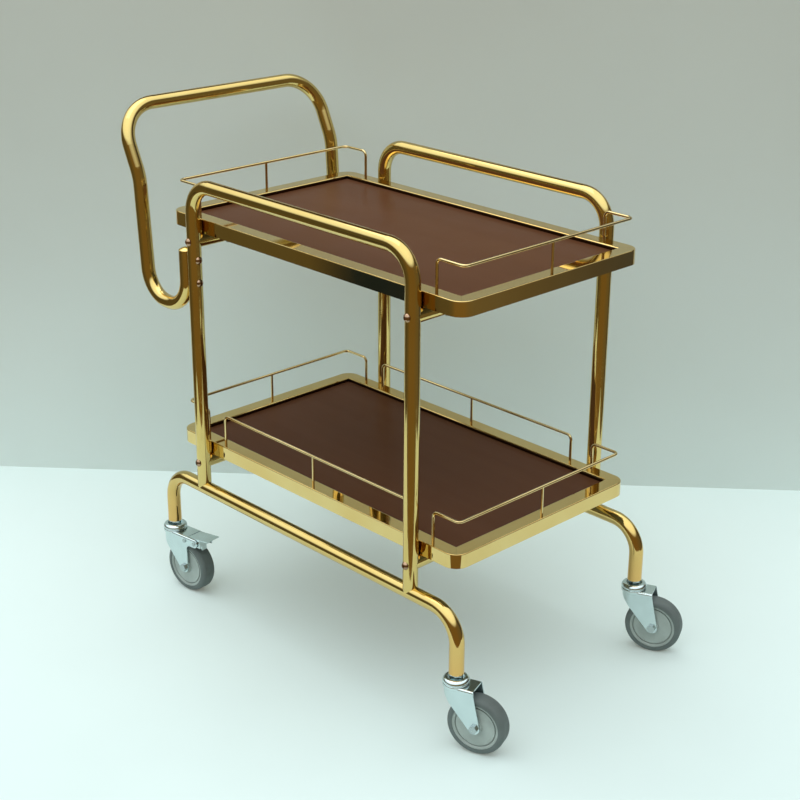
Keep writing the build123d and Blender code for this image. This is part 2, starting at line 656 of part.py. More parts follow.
def caster_fork(x, y, heading, braked):
    """Pressed fork: rounded nose, collar, top plate and tapered cheeks, with ears for a brake pedal."""
    level = level_plane(x, y, heading)
    upright = wheel_plane(x, y, heading)
    reach = BRAKE_FORK_REACH if braked else FORK_REACH
    tail = max(CASTER_TRAIL + FORK_END_RADIUS, BRAKE_EAR_REACH)
    with BuildPart() as fork:
        with BuildSketch(level):
            Circle(FORK_OUTER)
            Rectangle(tail, 2 * FORK_OUTER, align=(Align.MIN, Align.CENTER))
        extrude(amount=FORK_TOP)
        fillet(fork.faces().sort_by(Axis.Z)[-1].edges(), radius=FORK_EDGE_RADIUS)
        with BuildSketch(upright) as outline:
            with Locations((CASTER_TRAIL, WHEEL_RADIUS)):
                Circle(FORK_END_RADIUS)
            with Locations((-FORK_OUTER, FORK_TOP)):
                Rectangle(reach + FORK_OUTER, FORK_NOSE_HEIGHT, align=(Align.MIN, Align.MAX))
            make_hull()
            if braked:
                with Locations((0, FORK_TOP)):
                    Rectangle(BRAKE_PIVOT_REACH, 2 * BRAKE_EAR_RADIUS, align=(Align.MIN, Align.MAX))
                with Locations((BRAKE_PIVOT_REACH, BRAKE_PIVOT_HEIGHT)):
                    Circle(BRAKE_EAR_RADIUS)
                corner = Vector(reach, FORK_TOP - 2 * BRAKE_EAR_RADIUS)
                fillet(outline.vertices().sort_by_distance(corner)[0], radius=BRAKE_EAR_FILLET)
        extrude(amount=FORK_OUTER, both=True, mode=Mode.INTERSECT)
        with BuildSketch(stem_plane(x, y, FORK_TOP - FORK_COLLAR_DROP)) as section:
            with Locations((FORK_INNER, 0)):
                Rectangle(
                    FORK_COLLAR_DIAMETER / 2 - FORK_INNER,
                    FORK_COLLAR_DROP + RACE_HEIGHT,
                    align=Align.MIN,
                )
            fillet(section.vertices().group_by(Axis.X)[-1], radius=FORK_COLLAR_ROUND)
        revolve(axis=Axis((x, y, 0), (0, 0, 1)))
        with BuildSketch(level):
            Circle(FORK_INNER)
            Rectangle(tail, 2 * FORK_INNER, align=(Align.MIN, Align.CENTER))
        extrude(amount=FORK_CEILING, mode=Mode.SUBTRACT)
        with BuildSketch(level):
            with Locations((reach, 0)):
                Rectangle(tail, 2 * FORK_INNER, align=(Align.MIN, Align.CENTER))
        extrude(amount=FORK_TOP, mode=Mode.SUBTRACT)
        with BuildSketch(upright):
            with Locations((CASTER_TRAIL, WHEEL_RADIUS)):
                Circle(AXLE_RADIUS + RUNNING_GAP)
            if braked:
                with Locations(
                    (BRAKE_PIVOT_REACH, BRAKE_PIVOT_HEIGHT), (BRAKE_STOP_REACH, BRAKE_PIVOT_HEIGHT)
                ):
                    Circle(BRAKE_PIN_RADIUS + RUNNING_GAP)
        extrude(amount=FORK_OUTER, both=True, mode=Mode.SUBTRACT)
        with BuildSketch(level):
            Circle(STEM_RADIUS + RUNNING_GAP)
        extrude(amount=FORK_TOP, mode=Mode.SUBTRACT)
    return fork.part


def wheel_axle(x, y, heading):
    """Axle bolt with its nut, and the sleeve between the cheeks on which the wheel turns."""
    upright = wheel_plane(x, y, heading)
    centre = (CASTER_TRAIL, WHEEL_RADIUS)
    with BuildPart() as axle:
        with BuildSketch(upright.offset(FORK_OUTER)):
            with Locations(centre):
                RegularPolygon(AXLE_HEAD_FLATS / 2, side_count=6, major_radius=False)
        extrude(amount=AXLE_HEAD_HEIGHT)
        with BuildSketch(upright.offset(FORK_OUTER)):
            with Locations(centre):
                Circle(AXLE_RADIUS)
        extrude(amount=-2 * FORK_OUTER - AXLE_HEAD_HEIGHT - AXLE_THREAD_END)
        with BuildSketch(upright.offset(-FORK_OUTER)):
            with Locations(centre):
                RegularPolygon(AXLE_HEAD_FLATS / 2, side_count=6, major_radius=False)
                Circle(AXLE_RADIUS + RUNNING_GAP, mode=Mode.SUBTRACT)
        extrude(amount=-AXLE_HEAD_HEIGHT)
        with BuildSketch(upright):
            with Locations(centre):
                Circle(SLEEVE_RADIUS)
                Circle(AXLE_RADIUS + RUNNING_GAP, mode=Mode.SUBTRACT)
        extrude(amount=FORK_INNER, both=True)
    return axle.part


def wheel_hub(x, y, heading):
    """Moulded wheel centre: boss, flat disc, groove and raised bevelled rim, alike on both faces."""
    axis = axle_axis(x, y, heading)
    bore = SLEEVE_RADIUS + RUNNING_GAP
    rim = HUB_RADIUS - HUB_RIM_DEPTH
    groove = rim - HUB_GROOVE_WIDTH
    groove_half = HUB_DISC_WIDTH / 2 - HUB_GROOVE_DEPTH
    half_profile = [
        (HUB_BOSS_WIDTH / 2, bore),
        (HUB_BOSS_WIDTH / 2, HUB_BOSS_DIAMETER / 2),
        (HUB_DISC_WIDTH / 2, HUB_BOSS_DIAMETER / 2),
        (HUB_DISC_WIDTH / 2, groove),
        (groove_half, groove),
        (groove_half, rim),
        (HUB_RIM_WIDTH / 2 - HUB_RIM_BEVEL, rim),
        (HUB_RIM_WIDTH / 2, rim + HUB_RIM_BEVEL),
        (HUB_RIM_WIDTH / 2, HUB_RADIUS),
    ]
    other_half = [(-across, out) for across, out in reversed(half_profile)]
    with BuildPart() as hub:
        with BuildSketch(turning_plane(axis)):
            with BuildLine():
                Polyline(*half_profile, *other_half, close=True)
            make_face()
        revolve(axis=axis)
    return hub.part


def wheel_tyre(x, y, heading):
    """Tyre with rounded shoulders, bonded round the hub."""
    axis = axle_axis(x, y, heading)
    inside = HUB_RADIUS + TYRE_BOND_GAP
    with BuildPart() as tyre:
        with BuildSketch(turning_plane(axis)) as section:
            with Locations((0, inside)):
                Rectangle(TYRE_WIDTH, WHEEL_RADIUS - inside, align=(Align.CENTER, Align.MIN))
            fillet(section.vertices().group_by(Axis.Y)[-1], radius=TYRE_SHOULDER)
        revolve(axis=axis)
    return tyre.part


def brake_pins(x, y, heading):
    """Riveted pivot pin of a brake pedal, and the stop pin in front of it."""
    upright = wheel_plane(x, y, heading)
    places = [(BRAKE_PIVOT_REACH, BRAKE_PIVOT_HEIGHT), (BRAKE_STOP_REACH, BRAKE_PIVOT_HEIGHT)]
    with BuildPart() as pins:
        with BuildSketch(upright):
            with Locations(places):
                Circle(BRAKE_PIN_RADIUS)
        extrude(amount=FORK_OUTER, both=True)
        for side in SIDES.values():
            with BuildSketch(upright.offset(side * FORK_OUTER)):
                with Locations(places):
                    Circle(BRAKE_PIN_HEAD_DIAMETER / 2)
            extrude(amount=side * BRAKE_PIN_HEAD_HEIGHT)
    return pins.part


def brake_pedal(x, y, heading):
    """Pressed pedal: sloped foot plate, two cheeks on the pivot and a shoe over the tyre."""
    upright = wheel_plane(x, y, heading)
    pivot = (BRAKE_PIVOT_REACH, BRAKE_PIVOT_HEIGHT)
    cheek_back = BRAKE_PIVOT_REACH + PEDAL_CHEEK_REACH
    cheek_bottom = BRAKE_PIVOT_HEIGHT - PEDAL_CHEEK_RADIUS
    end_top = FORK_TOP + PEDAL_RISE
    shoe_front = BRAKE_PIVOT_REACH + SHOE_SETBACK
    with BuildPart() as pedal:
        with BuildSketch(upright):
            with Locations(pivot):
                Circle(PEDAL_CHEEK_RADIUS)
            with Locations((BRAKE_PIVOT_REACH, cheek_bottom)):
                Rectangle(PEDAL_CHEEK_REACH, end_top - cheek_bottom, align=Align.MIN)
            with Locations(pivot):
                Rectangle(
                    2 * PEDAL_CHEEK_RADIUS, end_top - BRAKE_PIVOT_HEIGHT, align=(Align.CENTER, Align.MIN)
                )
        extrude(amount=PEDAL_OUTER, both=True)
        with BuildSketch(upright):
            Rectangle(2 * cheek_back, 2 * end_top)
        extrude(amount=PEDAL_INNER, both=True, mode=Mode.SUBTRACT)
        with BuildSketch(upright):
            with Locations((shoe_front, cheek_bottom)):
                Rectangle(SHOE_THICKNESS, 2 * PEDAL_CHEEK_RADIUS, align=Align.MIN)
        extrude(amount=PEDAL_OUTER, both=True)
        with BuildSketch(upright):
            with BuildLine():
                Polyline(
                    (PEDAL_START, FORK_TOP),
                    (PEDAL_END, end_top),
                    (PEDAL_END, 2 * end_top),
                    (PEDAL_START, 2 * end_top),
                    close=True,
                )
            make_face()
        extrude(amount=PEDAL_OUTER, both=True, mode=Mode.SUBTRACT)
        with BuildSketch(upright):
            with BuildLine():
                Polyline(
                    (PEDAL_START, FORK_TOP - PEDAL_SHEET),
                    (PEDAL_END, end_top - PEDAL_SHEET),
                    (PEDAL_END, end_top),
                    (PEDAL_START, FORK_TOP),
                    close=True,
                )
            make_face()
        extrude(amount=PEDAL_OUTER, both=True)
        with BuildSketch(upright):
            with Locations((shoe_front, BRAKE_PIVOT_HEIGHT - SHOE_DROP)):
                Rectangle(SHOE_THICKNESS, SHOE_DROP, align=Align.MIN)
        extrude(amount=SHOE_WIDTH / 2, both=True)
        with BuildSketch(upright):
            with Locations(pivot):
                Circle(BRAKE_PIN_RADIUS + RUNNING_GAP)
        extrude(amount=PEDAL_OUTER, both=True, mode=Mode.SUBTRACT)
    return pedal.part


def build_frame():
    """Tube frame, push handle and their screws."""
    for name, side in SIDES.items():
        save(side_frame(side), f"side_frame_{name}")
        save(base_tube(side), f"base_tube_{name}")
    for tray, height in TRAY_HEIGHTS.items():
        for name, end in ENDS.items():
            save(cross_tube(height, end), f"{tray}_cross_tube_{name}")
    save(push_handle(), "push_handle")
    save(handle_end_caps(), "handle_end_caps")
    save(handle_inserts(), "handle_inserts")
    save(cross_tube_plugs(), "cross_tube_plugs")
    cross_length = TUBE_DIAMETER + PLUG_INSET + SCREW_GRIP
    save(dome_screws(cross_tube_seats(), cross_length), "cross_tube_screws")
    handle_length = TUBE_RADIUS - UPRIGHT_X - HOOK_X
    save(dome_screws(handle_seats(), handle_length), "handle_screws")


def build_trays():
    """Tray edgings, boards, their screws and the wire galleries."""
    for tray, height in TRAY_HEIGHTS.items():
        save(tray_frame(height), f"{tray}_tray_frame")
        save(tray_panel(height), f"{tray}_tray_panel")
        for name, end in ENDS.items():
            save(end_gallery(height, end), f"{tray}_gallery_{name}")
    for name, side in SIDES.items():
        save(side_gallery(LOWER_TRAY_HEIGHT, side), f"lower_gallery_{name}")
    save(tray_screws(), "tray_screws")


def build_casters():
    """Leg inserts, swivel heads, forks, wheels and the rear brakes."""
    save(leg_inserts(), "leg_inserts")
    save(swivel_races(), "swivel_races")
    for name, (x, y, heading, braked) in CASTERS.items():
        save(caster_stem(x, y), f"caster_stem_{name}")
        save(swivel_cup(x, y), f"swivel_cup_{name}")
        save(caster_fork(x, y, heading, braked), f"caster_fork_{name}")
        save(wheel_axle(x, y, heading), f"wheel_axle_{name}")
        save(wheel_hub(x, y, heading), f"wheel_hub_{name}")
        save(wheel_tyre(x, y, heading), f"wheel_tyre_{name}")
        if braked:
            save(brake_pins(x, y, heading), f"brake_pins_{name}")
            save(brake_pedal(x, y, heading), f"brake_pedal_{name}")


os.makedirs("parts", exist_ok=True)
build_frame()
build_trays()
build_casters()
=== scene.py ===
from math import cos, sin

import bpy
from bpy.props import FloatProperty, FloatVectorProperty, PointerProperty
from mathutils import Matrix, Vector


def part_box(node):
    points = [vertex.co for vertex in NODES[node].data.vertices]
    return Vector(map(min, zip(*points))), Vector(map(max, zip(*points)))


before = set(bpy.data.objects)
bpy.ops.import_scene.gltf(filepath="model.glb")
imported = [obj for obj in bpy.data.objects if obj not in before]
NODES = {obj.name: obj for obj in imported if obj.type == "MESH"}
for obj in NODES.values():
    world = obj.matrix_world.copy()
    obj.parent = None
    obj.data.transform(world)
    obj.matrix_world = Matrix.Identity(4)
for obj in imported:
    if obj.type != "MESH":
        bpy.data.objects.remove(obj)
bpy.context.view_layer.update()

bl_info = {
    "name": "Two-tier serving trolley",
    "version": (1, 0, 0),
    "blender": (4, 5, 0),
    "location": "View3D > Sidebar > Trolley",
    "description": "Finishes and stage of a serving trolley with a polished gold tube frame",
    "category": "Object",
}

CORNERS = ("front_left", "front_right", "rear_left", "rear_right")
REAR_CORNERS = ("rear_left", "rear_right")
TUBES = (
    "side_frame_left", "side_frame_right", "base_tube_left", "base_tube_right",
    "upper_cross_tube_front", "upper_cross_tube_rear", "lower_cross_tube_front",
    "lower_cross_tube_rear", "push_handle", "handle_end_caps",
)
GALLERIES = (
    "upper_gallery_front", "upper_gallery_rear", "lower_gallery_front",
    "lower_gallery_rear", "lower_gallery_left", "lower_gallery_right",
)
TRAY_FRAMES = ("upper_tray_frame", "lower_tray_frame")
TRAY_PANELS = ("upper_tray_panel", "lower_tray_panel")
FRAME_SCREWS = ("cross_tube_screws", "handle_screws")
SMALL_STEEL = ("tray_screws", "cross_tube_plugs", "handle_inserts", "leg_inserts", "swivel_races")

# The range that most of a noise lies in
NOISE_LOW = 0.35
NOISE_HIGH = 0.65

# A mix node has sockets for each kind of value, and these are the ones for colours
MIX_FIRST = 6
MIX_SECOND = 7
MIX_RESULT = 2


def tint(name, description, default):
    """A colour that the user can change."""
    return FloatVectorProperty(
        name=name, description=description, subtype="COLOR", min=0, max=1, default=default
    )


def share(name, description, default):
    """A value between nothing and all."""
    return FloatProperty(
        name=name, description=description, subtype="FACTOR", min=0, max=1, default=default
    )


def length(name, description, default):
    """A size in metres."""
    return FloatProperty(name=name, description=description, unit="LENGTH", default=default)


class TrolleyFinishes(bpy.types.PropertyGroup):
    """Colours and polish of the trolley's materials."""

    gold: tint("Gold", "Colour of the polished tubes", (0.685, 0.512, 0.19))
    gold_shade: tint("Gold shade", "Duller gold in the tubes' polish", (0.66, 0.472, 0.161))
    gold_leg: tint("Leg gold", "Warmer gold at the foot of the legs", (0.745, 0.45, 0.153))
    gold_polish: share("Gold roughness", "Roughness of the polished tubes", 0.075)
    edging: tint("Edging", "Colour of the trays' edging", (0.735, 0.545, 0.222))
    edging_shade: tint("Edging shade", "Duller gold in the edging's polish", (0.70, 0.49, 0.18))
    # The fold colour is painted shade, a dark tone laid on the inner fold of the edging
    fold: tint("Fold", "Painted shade along the inner fold of the edging", (0.07, 0.04, 0.015))
    edging_polish: share("Edging roughness", "Roughness of the trays' edging", 0.035)
    wire: tint("Wire", "Colour of the gallery wire", (0.735, 0.585, 0.305))
    wire_shade: tint("Wire shade", "Duller gold in the wire's polish", (0.685, 0.51, 0.232))
    wire_polish: share("Wire roughness", "Roughness of the gallery wire", 0.07)
    board: tint("Board", "Main colour of the boards", (0.091, 0.035, 0.0155))
    board_figure: tint("Board figure", "Colour of the boards' grain", (0.102, 0.041, 0.0195))
    backing: tint("Backing", "Colour of the boards' bare undersides", (0.2, 0.175, 0.14))
    board_polish: share("Board roughness", "Roughness of the boards", 0.33)
    plating: tint("Plating", "Colour of the casters' bright plating", (0.645, 0.745, 0.75))
    plating_polish: share("Plating roughness", "Roughness of the bright plating", 0.17)
    tyre: tint("Tyre", "Colour of the tyres", (0.115, 0.139, 0.134))
    wheel_centre: tint("Wheel centre", "Colour of the wheels' moulded centres", (0.345, 0.393, 0.37))
    screw: tint("Screw", "Colour of the dome-head screws", (0.465, 0.30, 0.19))
    steel: tint("Steel", "Colour of the plain steel pieces", (0.47, 0.53, 0.53))


class TrolleyStage(bpy.types.PropertyGroup):
    """Floor, wall, room and lamp."""

    floor: tint("Floor", "Colour of the floor", (0.735, 0.885, 0.882))
    # Painted light: the floor is painted paler towards the wall
    floor_far_painted_light: tint("Far floor", "Colour of the floor by the wall", (0.81, 0.963, 0.96))
    # Painted shade: the floor behind the wall is painted darker
    floor_behind_painted_shade: tint("Floor behind", "Colour of the floor behind the wall", (0.55, 0.64, 0.625))
    floor_shade: tint("Floor shade", "Warm tone in the floor's shadow", (0.75, 0.74, 0.64))
    floor_lift: share("Floor lift", "How far the warm tone shows in the floor's shadow", 0.18)
    wall: tint("Wall", "Colour of the wall", (0.77, 0.835, 0.808))
    wall_distance: length("Wall distance", "From the trolley's middle to the wall", 0.582)
    floor_front: length("Floor front", "From the trolley's middle to the floor's near edge", 0.84)
    floor_back: length("Floor back", "From the trolley's middle to the floor's far edge", 2.0)
    floor_left: length("Floor left", "From the trolley's middle to the floor's left edge", 1.22)
    floor_right: length("Floor right", "From the trolley's middle to the floor's right edge", 1.22)
    wall_height: length("Wall height", "Height of the wall", 1.1)
    sky: tint("Sky", "Colour of the light from overhead", (0.95, 1.0, 1.0))
    sky_edge: tint("Sky edge", "Colour of the light at the ceiling's edge", (0.70, 0.785, 0.815))
    room_left: tint("Room left", "Dim side of the room", (0.063, 0.0555, 0.028))
    room_corner: tint("Room corner", "Dark low corner at the left of the room", (0.009, 0.0145, 0.021))
    room_front: tint("Room front", "Warm part of the room behind the camera", (0.123, 0.082, 0.028))
    room_right: tint("Room right", "Warm side of the room", (0.097, 0.08, 0.044))
    room_side: tint("Room side", "Grey part at the far right of the room", (0.042, 0.043, 0.044))
    room_back: tint("Room back", "Dark part of the room above the wall", (0.0485, 0.031, 0.012))
    ceiling_slope: share("Ceiling slope", "How far the bright ceiling comes down at the left", 0.134)
    room_light: FloatProperty(
        name="Room light", description="Strength of the light from the room", default=1.735
    )
    lamp_power: FloatProperty(
        name="Lamp power", description="Power of the soft lamp", unit="POWER", default=11
    )


def add_node(tree, kind, **settings):
    """Adds a shader node and sets its own fields."""
    node = tree.nodes.new(kind)
    for field, value in settings.items():
        setattr(node, field, value)
    return node


def start_material(name):
    """A new node material with its tree and shader."""
    material = bpy.data.materials.new(name)
    material.use_nodes = True
    tree = material.node_tree
    return material, tree, tree.nodes["Principled BSDF"]


def cloud(tree, scale, stretch=(1, 1, 1), detail=3.0):
    """Noise on the piece's own place, stretched along its axes."""
    coords = add_node(tree, "ShaderNodeTexCoord")
    mapping = add_node(tree, "ShaderNodeMapping")
    mapping.inputs["Scale"].default_value = stretch
    noise = add_node(tree, "ShaderNodeTexNoise")
    noise.inputs["Scale"].default_value = scale
    noise.inputs["Detail"].default_value = detail
    tree.links.new(coords.outputs["Object"], mapping.inputs["Vector"])
    tree.links.new(mapping.outputs["Vector"], noise.inputs["Vector"])
    return noise.outputs["Fac"]


def spread(tree, source, low, high, start=NOISE_LOW, end=NOISE_HIGH):
    """Maps a value's range from start to end on to another, and holds it at the ends."""
    node = add_node(tree, "ShaderNodeMapRange")
    node.inputs["From Min"].default_value = start
    node.inputs["From Max"].default_value = end
    node.inputs["To Min"].default_value = low
    node.inputs["To Max"].default_value = high
    tree.links.new(source, node.inputs["Value"])
    return node.outputs["Result"]


def mix_colours(tree, factor, first, second):
    """Mixes two colours, each a socket or three numbers, by a factor."""
    node = add_node(tree, "ShaderNodeMix", data_type="RGBA")
    tree.links.new(factor, node.inputs[0])
    for place, value in ((MIX_FIRST, first), (MIX_SECOND, second)):
        if isinstance(value, bpy.types.NodeSocket):
            tree.links.new(value, node.inputs[place])
        else:
            node.inputs[place].default_value = (*value, 1)
    return node.outputs[MIX_RESULT]


def calculate(tree, operation, first, second=None):
    """One step of arithmetic on sockets or numbers."""
    node = add_node(tree, "ShaderNodeMath", operation=operation)
    for socket, value in zip(node.inputs, (first, second)):
        if isinstance(value, bpy.types.NodeSocket):
            tree.links.new(value, socket)
        elif value is not None:
            socket.default_value = value
    return node.outputs[0]


def object_place(tree):
    """The X, Y and Z of a point on the piece, in metres."""
    coords = add_node(tree, "ShaderNodeTexCoord")
    split = add_node(tree, "ShaderNodeSeparateXYZ")
    tree.links.new(coords.outputs["Object"], split.inputs[0])
    return split.outputs


def facing(tree):
    """The X, Y and Z of the way that a surface faces."""
    geometry = add_node(tree, "ShaderNodeNewGeometry")
    split = add_node(tree, "ShaderNodeSeparateXYZ")
    tree.links.new(geometry.outputs["Normal"], split.inputs[0])
    return split.outputs


def heading(tree, place, way):
    """How far a place or direction lies one way."""
    node = add_node(tree, "ShaderNodeVectorMath", operation="DOT_PRODUCT")
    tree.links.new(place, node.inputs[0])
    node.inputs[1].default_value = way
    return node.outputs["Value"]


def scaled(tone, amount):
    """A colour made darker or lighter."""
    return [channel * amount for channel in tone]


def mottle(tree, tone, other, scale, detail=3.0):
    """A colour that wanders between two tones."""
    return mix_colours(tree, spread(tree, cloud(tree, scale, detail=detail), 0, 1), tone, other)


def haze(tree, shader, polish, least, most, scale, detail=3.0):
    """Lets a shader's roughness wander about its polish."""
    rough = spread(tree, cloud(tree, scale, detail=detail), polish * least, polish * most)
    tree.links.new(rough, shader.inputs["Roughness"])


def raise_surface(tree, shader, height, strength, depth):
    """Gives the shader a bump from a height."""
    node = add_node(tree, "ShaderNodeBump")
    node.inputs["Strength"].default_value = strength
    node.inputs["Distance"].default_value = depth
    tree.links.new(height, node.inputs["Height"])
    tree.links.new(node.outputs["Normal"], shader.inputs["Normal"])


def mix_surfaces(tree, factor, first, second):
    """Shows a mix of two shaders on the material's surface."""
    node = add_node(tree, "ShaderNodeMixShader")
    tree.links.new(factor, node.inputs[0])
    tree.links.new(first.outputs[0], node.inputs[1])
    tree.links.new(second.outputs[0], node.inputs[2])
    tree.links.new(node.outputs[0], tree.nodes["Material Output"].inputs["Surface"])


def polished_gold(name, gold, shade, polish):
    """Mirror-polished gold metal with faint clouds and haze in its polish."""
    material, tree, shader = start_material(name)
    shader.inputs["Metallic"].default_value = 1
    colour = mottle(tree, gold, shade, scale=9, detail=4)
    tree.links.new(colour, shader.inputs["Base Color"])
    haze(tree, shader, polish, least=0.6, most=1.6, scale=45, detail=5)
    return material, tree, shader, colour


def dress(material, *names):
    """Gives a material to finished pieces by name."""
    for name in names:
        slots = NODES[name].data.materials
        slots.clear()
        slots.append(material)


class TROLLEY_OT_polish_tubes(bpy.types.Operator):
    """Polishes the bent and straight tubes of the frame"""

    bl_idname = "trolley.polish_tubes"
    bl_label = "Polish tubes"

    def execute(self, context):
        finish = context.scene.trolley_finishes
        material, tree, shader, colour = polished_gold(
            "polished gold tube", finish.gold, finish.gold_shade, finish.gold_polish
        )
        legged = mix_colours(tree, self.legs(tree), colour, finish.gold_leg)
        tree.links.new(legged, shader.inputs["Base Color"])
        waves = cloud(tree, scale=22, detail=1)
        raise_surface(tree, shader, waves, strength=0.035, depth=0.0006)
        dress(material, *TUBES)
        return {"FINISHED"}

    def legs(self, tree):
        """How far down the legs a point lies, from none at the base tubes to all at the feet."""
        low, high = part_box("base_tube_left")
        return spread(tree, object_place(tree)["Z"], 1, 0, low.z, high.z)


class TROLLEY_OT_polish_edging(bpy.types.Operator):
    """Polishes the trays' sheet edging, lays painted shade on its inner fold and marks its mitred
    corners
    """

    bl_idname = "trolley.polish_edging"
    bl_label = "Polish tray edging"

    seam_colour = (0.10, 0.06, 0.02)
    seam_strength = 0.4
    # Metres from the mitre at which its line starts to fade and is gone
    seam_width = (0.00015, 0.0005)
    # How far a face looks outwards, from full painted shade to none
    shaded_fold_faces = (-0.82, -0.66)
    # How far a face looks up, at least, to count as the top of the flange
    top_faces = 0.9

    def execute(self, context):
        finish = context.scene.trolley_finishes
        material, tree, shader, colour = polished_gold(
            "polished gold edging", finish.edging, finish.edging_shade, finish.edging_polish
        )
        # Painted shade: the edging's inner fold is darkened
        fold_shaded = mix_colours(tree, self.inner_fold_shade(tree), colour, finish.fold)
        seamed = mix_colours(tree, self.mitre(tree), fold_shaded, self.seam_colour)
        tree.links.new(seamed, shader.inputs["Base Color"])
        dress(material, *TRAY_FRAMES)
        return {"FINISHED"}

    def inner_fold_shade(self, tree):
        """Painted shade on the faces that look inwards, where the edging turns down to the board."""
        place = object_place(tree)
        normal = facing(tree)
        outwards = [
            calculate(tree, "MULTIPLY", normal[axis], calculate(tree, "SIGN", place[axis]))
            for axis in ("X", "Y")
        ]
        return spread(tree, calculate(tree, "MINIMUM", *outwards), 1, 0, *self.shaded_fold_faces)

    def mitre(self, tree):
        """Hairline across the flange at each corner, where two lengths of edging meet."""
        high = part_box("upper_tray_frame")[1]
        place = object_place(tree)
        from_end = calculate(tree, "SUBTRACT", calculate(tree, "ABSOLUTE", place["X"]), high.x)
        from_side = calculate(tree, "SUBTRACT", calculate(tree, "ABSOLUTE", place["Y"]), high.y)
        off = calculate(tree, "ABSOLUTE", calculate(tree, "SUBTRACT", from_end, from_side))
        line = spread(tree, off, self.seam_strength, 0, *self.seam_width)
        top = calculate(tree, "GREATER_THAN", facing(tree)["Z"], self.top_faces)
        return calculate(tree, "MULTIPLY", line, top)


class TROLLEY_OT_lay_boards(bpy.types.Operator):
    """Finishes the dark laminated boards"""

    bl_idname = "trolley.lay_boards"
    bl_label = "Lay boards"

    # Share of the backing's colour that its streaks keep
    streak_tone = 0.72
    # Faces that look up less than this are the underside
    under_faces = -0.5

    def execute(self, context):
        finish = context.scene.trolley_finishes
        material, tree, shader = start_material("dark laminated board")
        shader.inputs["Specular IOR Level"].default_value = 0.045
        figure = spread(tree, cloud(tree, scale=6, stretch=(0.4, 4, 1), detail=5), 0.1, 1)
        pores = spread(tree, cloud(tree, scale=70, stretch=(0.15, 4, 1)), 0.6, 1)
        grain = calculate(tree, "MULTIPLY", figure, pores)
        top = mix_colours(tree, grain, finish.board, finish.board_figure)
        streak = scaled(finish.backing, self.streak_tone)
        under = mix_colours(tree, grain, finish.backing, streak)
        colour = mix_colours(tree, self.faces_down(tree), top, under)
        tree.links.new(colour, shader.inputs["Base Color"])
        haze(tree, shader, finish.board_polish, least=0.96, most=1.04, scale=14, detail=6)
        dress(material, *TRAY_PANELS)
        return {"FINISHED"}

    def faces_down(self, tree):
        """Marks the bare undersides of the boards."""
        return calculate(tree, "LESS_THAN", facing(tree)["Z"], self.under_faces)


class TROLLEY_OT_bend_galleries(bpy.types.Operator):
    """Finishes the wire galleries"""

    bl_idname = "trolley.bend_galleries"
    bl_label = "Bend galleries"

    def execute(self, context):
        finish = context.scene.trolley_finishes
        material = polished_gold("gold wire", finish.wire, finish.wire_shade, finish.wire_polish)[0]
        dress(material, *GALLERIES)
        return {"FINISHED"}


class TROLLEY_OT_plate_casters(bpy.types.Operator):
    """Plates the forks, cups, stems and brake pedals, and finishes the small steel pieces"""

    bl_idname = "trolley.plate_casters"
    bl_label = "Plate casters"

    steel_roughness = 0.3
    # Share of the colour that the duller spots keep
    dull_tone = 0.94

    def execute(self, context):
        finish = context.scene.trolley_finishes
        bright = self.plated("bright plating", finish.plating, finish.plating_polish)
        steel = self.plated("plain steel", finish.steel, self.steel_roughness)
        for corner in CORNERS:
            dress(bright, f"caster_fork_{corner}", f"swivel_cup_{corner}", f"caster_stem_{corner}")
            dress(steel, f"wheel_axle_{corner}")
        for corner in REAR_CORNERS:
            dress(bright, f"brake_pedal_{corner}")
            dress(steel, f"brake_pins_{corner}")
        dress(steel, *SMALL_STEEL)
        return {"FINISHED"}

    def plated(self, name, tone, polish):
        """Zinc plating with soft mottling."""
        material, tree, shader = start_material(name)
        shader.inputs["Metallic"].default_value = 1
        colour = mottle(tree, tone, scaled(tone, self.dull_tone), scale=40, detail=5)
        tree.links.new(colour, shader.inputs["Base Color"])
        haze(tree, shader, polish, least=0.85, most=1.2, scale=90, detail=4)
        pitting = cloud(tree, scale=300, detail=2)
        raise_surface(tree, shader, pitting, strength=0.02, depth=0.0002)
        return material


class TROLLEY_OT_mould_wheels(bpy.types.Operator):
    """Finishes the tyres and the moulded wheel centres"""

    bl_idname = "trolley.mould_wheels"
    bl_label = "Mould wheels"

    # How much paler the dusty spots are
    dust_tone = 1.22

    def execute(self, context):
        finish = context.scene.trolley_finishes
        tyre = self.moulded("grey tyre", finish.tyre, roughness=0.62, grain=220, strength=0.25)
        centre = self.moulded(
            "grey wheel centre", finish.wheel_centre, roughness=0.45, grain=500, strength=0.12
        )
        for corner in CORNERS:
            dress(tyre, f"wheel_tyre_{corner}")
            dress(centre, f"wheel_hub_{corner}")
        return {"FINISHED"}

    def moulded(self, name, tone, roughness, grain, strength):
        """Matte moulding with a fine grain and a little dust."""
        material, tree, shader = start_material(name)
        colour = mottle(tree, tone, scaled(tone, self.dust_tone), scale=28, detail=6)
        tree.links.new(colour, shader.inputs["Base Color"])
        haze(tree, shader, roughness, least=0.9, most=1.15, scale=60)
        raise_surface(tree, shader, cloud(tree, grain, detail=2), strength, depth=0.0003)
        return material


class TROLLEY_OT_fit_screws(bpy.types.Operator):
    """Finishes the dome-head screws"""

    bl_idname = "trolley.fit_screws"
    bl_label = "Fit screws"

    screw_roughness = 0.1
    # Share of the colour that the tarnished spots keep
    tarnish_tone = 0.7

    def execute(self, context):
        finish = context.scene.trolley_finishes
        material, tree, shader = start_material("coppery screw plating")
        shader.inputs["Metallic"].default_value = 1
        tarnish = scaled(finish.screw, self.tarnish_tone)
        colour = mottle(tree, finish.screw, tarnish, scale=150, detail=4)
        tree.links.new(colour, shader.inputs["Base Color"])
        haze(tree, shader, self.screw_roughness, least=0.6, most=1.6, scale=90)
        dress(material, *FRAME_SCREWS)
        return {"FINISHED"}


